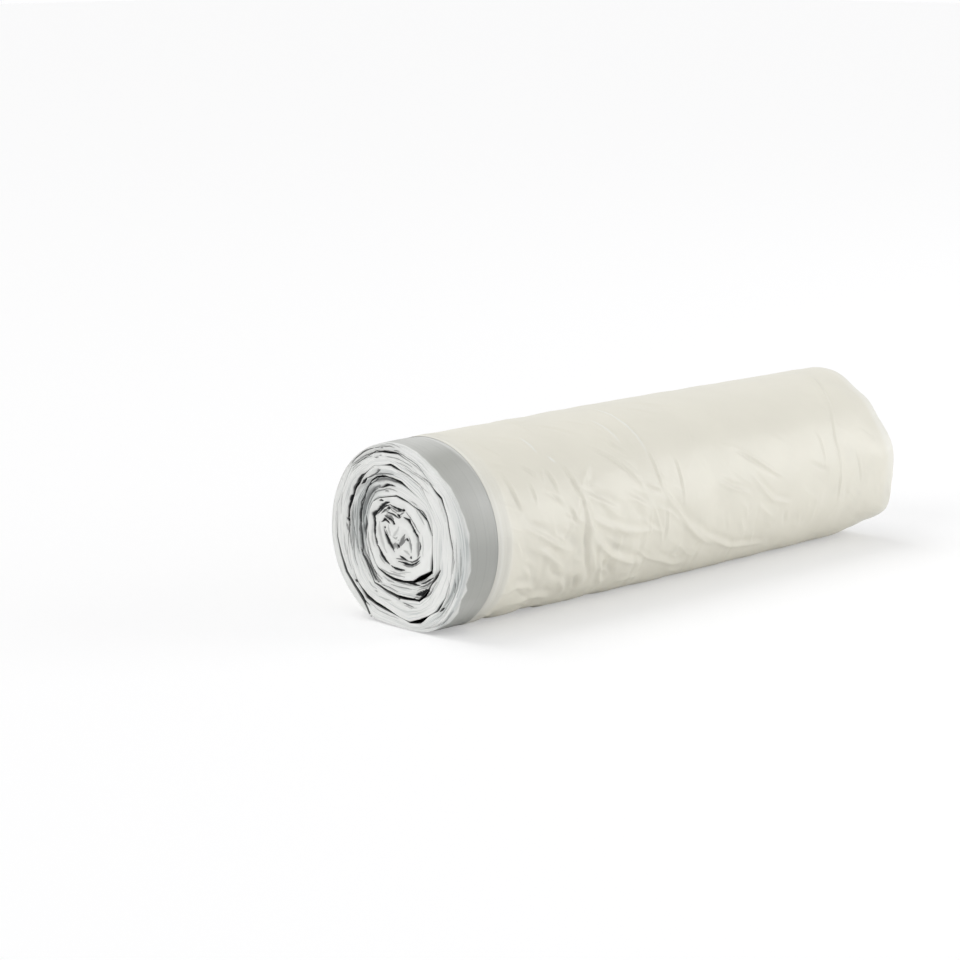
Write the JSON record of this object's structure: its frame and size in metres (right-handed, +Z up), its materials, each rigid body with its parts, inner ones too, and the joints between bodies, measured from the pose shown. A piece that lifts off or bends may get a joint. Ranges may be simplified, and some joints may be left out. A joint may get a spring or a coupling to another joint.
{
  "type": "roll of pail bags",
  "caption": "Coreless roll of folded film pail bags, wound into one soft flat-bottomed roll, with the draw tape showing at its hemmed end.",
  "frame": {"origin": "on the surface that the roll lies on, below the middle of the roll", "axes": "+X along the roll from the hemmed end to the folded end, +Y across it, +Z up"},
  "size_m": [0.232, 0.0668, 0.0633],
  "materials": {
    "bag_film": "soft off-white polyethylene film with a satin sheen",
    "tape_film": "smooth pale grey polyethylene tape, a little duller than the film"
  },
  "bodies": {
    "root": {"rolled_bags": "bag_film", "draw_tape": "tape_film"}
  },
  "joints": []
}
